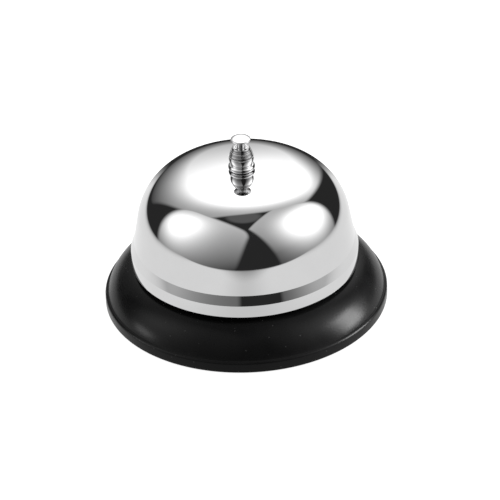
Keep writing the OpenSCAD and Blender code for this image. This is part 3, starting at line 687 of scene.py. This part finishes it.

# The nut's chrome keeps the tool's rings above the turned line. Painted shade darkens its colour in
# their grooves, and the same rings feed its bump
turned_chrome, tree, shader = finish("turned_chrome", 1.0)
marks = placed(tree, handling, Size=2.0, Share=0.55)
rings = placed(tree, turning, Feed=0.28)["Rings"]
spot = node(tree, "TexCoord").outputs["Object"]
rings_from = (nut_z + line_h + ledge) * 0.001
above = calc(tree, "GREATER_THAN", node(tree, "SeparateXYZ", {0: spot}).outputs[2], rings_from)
grooves_and_shade = calc(tree, "MULTIPLY", calc(tree, "MULTIPLY_ADD", rings, 4.0, -1.3, clamp=True), above)
tone = blended(tree, marks["Haze"], chrome_low, chrome_high)
# Painted shade: the chrome's colour turns dark grey in the rings' grooves
tree.links.new(blended(tree, grooves_and_shade, tone, (0.20, 0.20, 0.202)), shader.inputs["Base Color"])
gloss = calc(tree, "MULTIPLY_ADD", marks["Haze"], 0.03, 0.015)
gloss = calc(tree, "MULTIPLY_ADD", above, 0.07, gloss)
tree.links.new(gloss, shader.inputs["Roughness"])
raised(tree, shader, grooves_and_shade, 0.00001, 0.5)
fitted(barrel_nut, "housing", "chrome", turned_chrome, "barrel_nut")

# ---------------------------------------------------------------- pivot pin
# A ground steel pin through the bracket's legs, with a head in front and a snap ring behind.
# Two short tubes on it keep the lever midway between the legs.
pin_low, pin_high = box_of("pivot_pin")
pin_x, pin_z = (pin_low[0] + pin_high[0]) / 2, (pin_low[2] + pin_high[2]) / 2
leg_y = 9.56
pin_r = 1.0
pin_head_r = 1.8
groove_r = 0.7
groove_w = 0.66
along_y = np.array([[1, 0, 0, pin_x], [0, 0, 1, 0], [0, -1, 0, pin_z]])
pin_outline = softened([
    (0, pin_low[1], 0), (pin_head_r, pin_low[1], 0.3), (pin_head_r, -leg_y, 0.08), (pin_r, -leg_y, 0),
    (pin_r, leg_y, 0.05), (groove_r, leg_y, 0), (groove_r, leg_y + groove_w, 0),
    (pin_r, leg_y + groove_w, 0.05), (pin_r, pin_high[1], 0.2), (0, pin_high[1], 0)])
pivot_pin = turned("lever_pin", even(pin_outline, 2.0), 64, place=along_y)

ground, tree, shader = finish("ground_steel", 1.0)
patches = placed(tree, blotches, Size=1.2, Contrast=2.0)["Patches"]
rings = placed(tree, turning, Feed=0.06)["Rings"]
toned(tree, shader, patches, (0.50, 0.50, 0.51), (0.62, 0.62, 0.625), 0.16, 0.1)
raised(tree, shader, rings, 0.000006, 0.6)
fitted(pivot_pin, "housing", "ground_steel", ground, "pivot_pin")

tube_in, tube_out = 1.05, 1.8
for side in ("front", "back"):
    low, high = box_of("spacer_" + side)
    tube_outline = softened([(tube_in, low[1], 0.1), (tube_out, low[1], 0.15),
                             (tube_out, high[1], 0.15), (tube_in, high[1], 0.1)])
    tube = turned("lever_spacer_" + side, even(tube_outline, 1.0), 64, place=along_y)
    fitted(tube, "housing", "zinc_steel", zinc, "spacer_" + side)

dark_steel, tree, shader = finish("dark_spring_steel", 1.0)
patches = placed(tree, blotches, Size=0.7, Contrast=2.2)["Patches"]
toned(tree, shader, patches, (0.20, 0.20, 0.215), (0.34, 0.34, 0.35), 0.28, 0.15)
raised(tree, shader, patches, 0.00001, 0.4)
coated("pivot_clip", dark_steel)

# ---------------------------------------------------------------- rod and button
# A ground rod with a round tip slides in the post. The button, a thin chromed disc on a
# short neck, is pressed onto its upper end.
rod_low, rod_high = box_of("plunger_rod")
button_low, button_high = box_of("button")
neck_z = button_low[2]
rod_r = 1.0
straight_z = rod_low[2] + 3
shoulder_z = neck_z - 0.8
stop_r = 1.6
spigot_r = 0.7
rod_outline = np.concatenate([
    arc([0, rod_low[2] + rod_r], rod_r, -90, 0, 16),
    softened([(rod_r, straight_z, 0), (rod_r, shoulder_z, 0), (stop_r, shoulder_z, 0.1),
              (stop_r, neck_z, 0.1), (spigot_r, neck_z, 0), (spigot_r, rod_high[2], 0.1),
              (0, rod_high[2], 0), (0, straight_z, 0)])[:-1],
])
rod = turned("striker_rod", even(thinned(rod_outline), 2.0), 64)
fitted(rod, "plunger", "ground_steel", ground, "plunger_rod")

disc_r = button_high[0]
disc_top = button_high[2]
disc_low = disc_top - 0.8
disc_bead = 0.2
disc_fall = 1.9
disc_lean = 29.0
disc_bore = 0.72
neck_r = 1.1
neck_fillet = 0.15
downhill = np.array([np.sin(np.radians(disc_lean)), np.cos(np.radians(disc_lean))])
fall_c = np.array([disc_r - disc_bead - (disc_fall - disc_bead) * downhill[0], disc_top - disc_fall])
button_outline = np.concatenate([
    [[disc_bore, neck_z], [neck_r, neck_z], [neck_r, disc_low - neck_fillet]],
    arc([neck_r + neck_fillet, disc_low - neck_fillet], neck_fillet, 180, 90, 5),
    [[2.14, disc_low], [2.7, disc_low + 0.22]],
    arc(fall_c + (disc_fall - disc_bead) * downhill, disc_bead, -50, 90 - disc_lean, 14),
    arc(fall_c, disc_fall, 90 - disc_lean, 90, 18)[1:],
    [[1.0, disc_top], [0, disc_top], [0, disc_low], [disc_bore, disc_low]],
])
button = turned("push_button", thinned(button_outline), 128)
fitted(button, "plunger", "chrome", chrome, "button")

# ---------------------------------------------------------------- return spring
# Ten turns of drawn spring wire round the rod, the end turns closed. It lifts the rod and
# shortens by the button's travel in use; here it is drawn at rest and rides with the rod.
spring_low, spring_high = box_of("return_spring")
wire_r = 0.196
coil_r = spring_high[0] - wire_r
coils = 10
closed = 0.408
ring_points = 12


def helix_tube(name, radius, wire, low, high):
    """Wire round a helix: the centre line is (R cos t, R sin t, h(t)), where h climbs one closed
    pitch over each end turn and evenly between; a circle of the wire's radius stands in
    the plane through the coil's axis at each of its points, and a fan closes each end."""
    turn = np.linspace(0, coils, coils * 40 + 1)
    climb = np.interp(turn, [0, 1, coils - 1, coils], [low, low + closed, high - closed, high])
    ring = np.arange(ring_points) * 2 * np.pi / ring_points
    a = turn[:, None] * 2 * np.pi
    r = radius + wire * np.cos(ring)
    z = climb[:, None] + wire * np.sin(ring)
    grid = np.stack([r * np.cos(a), r * np.sin(a), z + 0 * a], -1)
    ends = [[radius, 0, low], [radius, 0, high]]
    points = np.concatenate([grid.reshape(-1, 3), ends])
    i, j = np.arange(len(turn) - 1)[:, None] * ring_points, np.arange(ring_points)[None, :]
    i2, j2 = i + ring_points, (j + 1) % ring_points
    quads = np.stack([i + j, i + j2, i2 + j2, i2 + j], -1)
    j, j2 = j[0], j2[0]
    last, count = (len(turn) - 1) * ring_points, len(turn) * ring_points
    caps = np.concatenate([np.stack([j2, j, 0 * j + count], -1),
                           np.stack([last + j, last + j2, 0 * j + count + 1], -1)])
    faces = [quads.reshape(-1, 4), caps]
    corners = quads.size + caps.size
    return solid(name, points, faces, np.zeros((corners, 2)), np.zeros(len(points)))


spring = helix_tube("coil_spring", coil_r, wire_r, spring_low[2] + wire_r, spring_high[2] - wire_r)
fitted(spring, "plunger", "spring_steel", dark_steel, "return_spring")
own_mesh(spring)

# ---------------------------------------------------------------- lever and hammer
# A bent strip of zinc-plated steel that the rod tips about the pin, and the turned brass
# hammer riveted to its pad.
coated("striker_lever", zinc)
coated("hammer", brass)

# ---------------------------------------------------------------- floor, light and camera
# A plain white floor that glows a little so that it stays evenly bright, three large soft
# boxes, to the left, the right and behind, and a long lens that looks down at the bell. The
# plating mirrors the floor as a bounded, glowing white sheet, a little dimmer along its middle,
# with painted shade behind the bell: there the sheet has a gap that shows the dark room.
floor_mesh = bpy.data.meshes.new("floor")
floor_mesh.from_pydata([(-4, -4, 0), (4, -4, 0), (4, 4, 0), (-4, 4, 0)], [], [(0, 1, 2, 3)])
floor = bpy.data.objects.new("floor", floor_mesh)
bpy.context.collection.objects.link(floor)
paper = bpy.data.materials.new("white_floor")
paper.use_nodes = True
tree = paper.node_tree
tree.nodes.clear()
lit = node(tree, "BsdfDiffuse", {"Color": (0.42, 0.42, 0.42, 1)})
glow = node(tree, "Emission", {"Color": (1, 1, 1, 1), "Strength": 0.88})
both = node(tree, "AddShader", {0: lit.outputs[0], 1: glow.outputs[0]})
seen = node(tree, "LightPath").outputs["Is Camera Ray"]
place = node(tree, "NewGeometry")
spot = node(tree, "SeparateXYZ", {0: place.outputs["Position"]}).outputs
across = calc(tree, "ABSOLUTE", spot[0])
depth = spot[1]
spread = calc(tree, "DIVIDE", across, calc(tree, "MAXIMUM", depth, 0.001))
fades = []
for distance, none, full in ((depth, -0.18, -0.138), (across, 0.42, 0.12), (depth, 0.05, 0.1),
                             (spread, 0.6, 0.3)):
    faded = node(tree, "MapRange", {0: distance, 1: none, 2: full}, interpolation_type="SMOOTHSTEP")
    fades.append(faded.outputs[0])
# Painted shade: behind the bell, reflections see through the sheet to the dark room
shaded_gap_behind = calc(tree, "MULTIPLY", fades[2], fades[3])
sheet_only = calc(tree, "MULTIPLY", fades[0], fades[1])
sheet_only = calc(tree, "MULTIPLY", sheet_only, calc(tree, "SUBTRACT", 1.0, shaded_gap_behind))
sheet_level = node(tree, "MapRange", {0: across, 1: 0.0, 2: 0.055, 3: 0.85, 4: 1.03},
                   interpolation_type="SMOOTHSTEP").outputs[0]
mirrored = node(tree, "Emission", {"Color": (1, 1, 1, 1), "Strength": sheet_level})
clear = node(tree, "BsdfTransparent")
mirrored = node(tree, "MixShader", {0: sheet_only, 1: clear.outputs[0], 2: mirrored.outputs[0]})
either = node(tree, "MixShader", {0: seen, 1: mirrored.outputs[0], 2: both.outputs[0]})
whole = node(tree, "MixShader", {0: place.outputs["Backfacing"], 1: either.outputs[0],
                                 2: clear.outputs[0]})
node(tree, "OutputMaterial", {0: whole.outputs[0]})
floor_mesh.materials.append(paper)

names = ("Half width", "Half height", "Corner", "Softness", "Even", "Grade", "Hot", "Hot x", "Hot y",
         "Spread x", "Spread y")
soft_box, given, out = effect("soft_box", dict.fromkeys(names, 0.0), ["Glow"])
for key in ("Facing", "Side", "Up"):
    soft_box.interface.new_socket(key, in_out="INPUT", socket_type="NodeSocketVector")
given = next(n for n in soft_box.nodes if n.bl_idname == "NodeGroupInput").outputs
way = node(soft_box, "TexCoord").outputs["Generated"]


def shadow_on(vector):
    """The direction's length along a vector of the box."""
    made = node(soft_box, "VectorMath", {0: way, 1: given[vector]}, operation="DOT_PRODUCT")
    return made.outputs["Value"]


facing = shadow_on("Facing")
ahead = calc(soft_box, "MAXIMUM", facing, 0.001)
x = calc(soft_box, "DIVIDE", shadow_on("Side"), ahead)
y = calc(soft_box, "DIVIDE", shadow_on("Up"), ahead)
past = []
for value, half in ((x, "Half width"), (y, "Half height")):
    inner = calc(soft_box, "SUBTRACT", given["Corner"], given[half])
    past.append(calc(soft_box, "ADD", calc(soft_box, "ABSOLUTE", value), inner))
outer = [calc(soft_box, "MAXIMUM", p, 0.0) for p in past]
squares = [calc(soft_box, "MULTIPLY", p, p) for p in outer]
away = calc(soft_box, "SQRT", calc(soft_box, "ADD", *squares))
within = calc(soft_box, "MINIMUM", calc(soft_box, "MAXIMUM", *past), 0.0)
away = calc(soft_box, "SUBTRACT", calc(soft_box, "ADD", away, within), given["Corner"])
mask = calc(soft_box, "SUBTRACT", 0.5, calc(soft_box, "DIVIDE", away, given["Softness"]), clamp=True)
mask = node(soft_box, "MapRange", {0: mask}, interpolation_type="SMOOTHSTEP").outputs[0]
mask = calc(soft_box, "MULTIPLY", mask, calc(soft_box, "GREATER_THAN", facing, 0.02))
level = calc(soft_box, "MULTIPLY_ADD", y, given["Grade"], given["Even"])
level = calc(soft_box, "MAXIMUM", level, 0.01)
squares = []
for value, key in ((x, " x"), (y, " y")):
    gap = calc(soft_box, "DIVIDE", calc(soft_box, "SUBTRACT", value, given["Hot" + key]),
               given["Spread" + key])
    squares.append(calc(soft_box, "MULTIPLY", gap, gap))
fall = calc(soft_box, "ADD", calc(soft_box, "ADD", *squares), 1.0)
fall = calc(soft_box, "POWER", fall, -2.0)
level = calc(soft_box, "MULTIPLY_ADD", fall, given["Hot"], level)
soft_box.links.new(calc(soft_box, "MULTIPLY", level, mask), out["Glow"])

studio = bpy.data.worlds.new("studio")
bpy.context.scene.world = studio
studio.use_nodes = True
tree = studio.node_tree
tree.nodes.clear()
boxes = (
    # azimuth, elevation, roll, then the soft box's values in the order of names
    (-55.1, 16.2, 2.7, 1.137, 1.565, 0.43, 0.30, 0.237, 0.288, 2.547, -0.541, 0.528, 0.584, 0.719),
    (72.6, 16.7, -0.2, 0.836, 1.86, 0.05, 0.20, 0.02, 0.313, 3.681, 0.277, 0.405, 0.61, 0.643),
    (187.2, 39.9, 10.6, 0.859, 0.927, 0.23, 0.19, 0.227, 0.229, 3.416, -0.2, 0.153, 0.58, 0.456),
)
room = 0.03
ceiling = 0.14
up = node(tree, "SeparateXYZ", {0: node(tree, "TexCoord").outputs["Generated"]}).outputs[2]
glow = node(tree, "MapRange", {0: up, 1: 0.972, 2: 0.99, 3: room, 4: ceiling},
            interpolation_type="SMOOTHSTEP").outputs[0]


def facing_from(azimuth, height):
    """The direction at an azimuth from the front and a height, in degrees, with the level
    direction across it to the right and the one square to both, upwards."""
    a, e = np.radians([azimuth, height])
    towards = np.array([np.sin(a) * np.cos(e), -np.cos(a) * np.cos(e), np.sin(e)])
    flat = np.array([np.cos(a), np.sin(a), 0])
    return towards, flat, np.cross(towards, flat)


for azimuth, height, roll, *values in boxes:
    towards, flat, upright = facing_from(azimuth, height)
    t = np.radians(roll)
    made = node(tree, "Group", node_tree=soft_box)
    for key, value in zip(names, values):
        made.inputs[key].default_value = value
    made.inputs["Facing"].default_value = towards
    made.inputs["Side"].default_value = flat * np.cos(t) + upright * np.sin(t)
    made.inputs["Up"].default_value = upright * np.cos(t) - flat * np.sin(t)
    glow = calc(tree, "MAXIMUM", made.outputs[0], glow)
seen = node(tree, "LightPath").outputs["Is Camera Ray"]
strength = node(tree, "Mix", {0: seen, 2: glow, 3: 1.1}).outputs[0]
light = node(tree, "Background", {"Color": (1, 1, 1, 1), "Strength": strength})
node(tree, "OutputWorld", {0: light.outputs[0]})

# Two strip lights at the sides light the lacquered base alone: its dark coat
# mirrors too little of the soft boxes to show how round its edge is.
lacquered = bpy.data.collections.new("lacquered")
lacquered.objects.link(pressed_base)
strip_far = 0.5
for name, azimuth, height, power, wide, tall in (
    ("right_strip", 88.0, 16.0, 5.0, 0.18, 0.30),
    ("left_strip", -86.0, 6.0, 0.32, 0.14, 0.10),
):
    towards, flat, upright = facing_from(azimuth, height)
    strip = bpy.data.lights.new(name, "AREA")
    strip.shape = "RECTANGLE"
    strip.size = wide
    strip.size_y = tall
    strip.energy = power
    stand = bpy.data.objects.new(name, strip)
    bpy.context.collection.objects.link(stand)
    stand.light_linking.receiver_collection = lacquered
    stand.visible_camera = False
    pose = np.eye(4)
    pose[:3, 0] = flat
    pose[:3, 1] = upright
    pose[:3, 2] = towards
    pose[:3, 3] = towards * strip_far
    stand.matrix_world = Matrix(pose.tolist())

camera_height, camera_roll, camera_far = 32.36, -2.14, 1.0
looks_at = np.array([0.00154, 0, 0.01584])
lens = bpy.data.cameras.new("camera")
lens.lens = 240.3
lens.sensor_width = 36.0
lens.clip_start = 0.01
lens.clip_end = 50.0
camera = bpy.data.objects.new("camera", lens)
bpy.context.collection.objects.link(camera)
bpy.context.scene.camera = camera
back, level, upright = facing_from(0, camera_height)
t = np.radians(camera_roll)
pose = np.eye(4)
pose[:3, 0] = level * np.cos(t) + upright * np.sin(t)
pose[:3, 1] = upright * np.cos(t) - level * np.sin(t)
pose[:3, 2] = back
pose[:3, 3] = looks_at + back * camera_far
camera.matrix_world = Matrix(pose.tolist())
bpy.context.scene.view_settings.view_transform = "Standard"
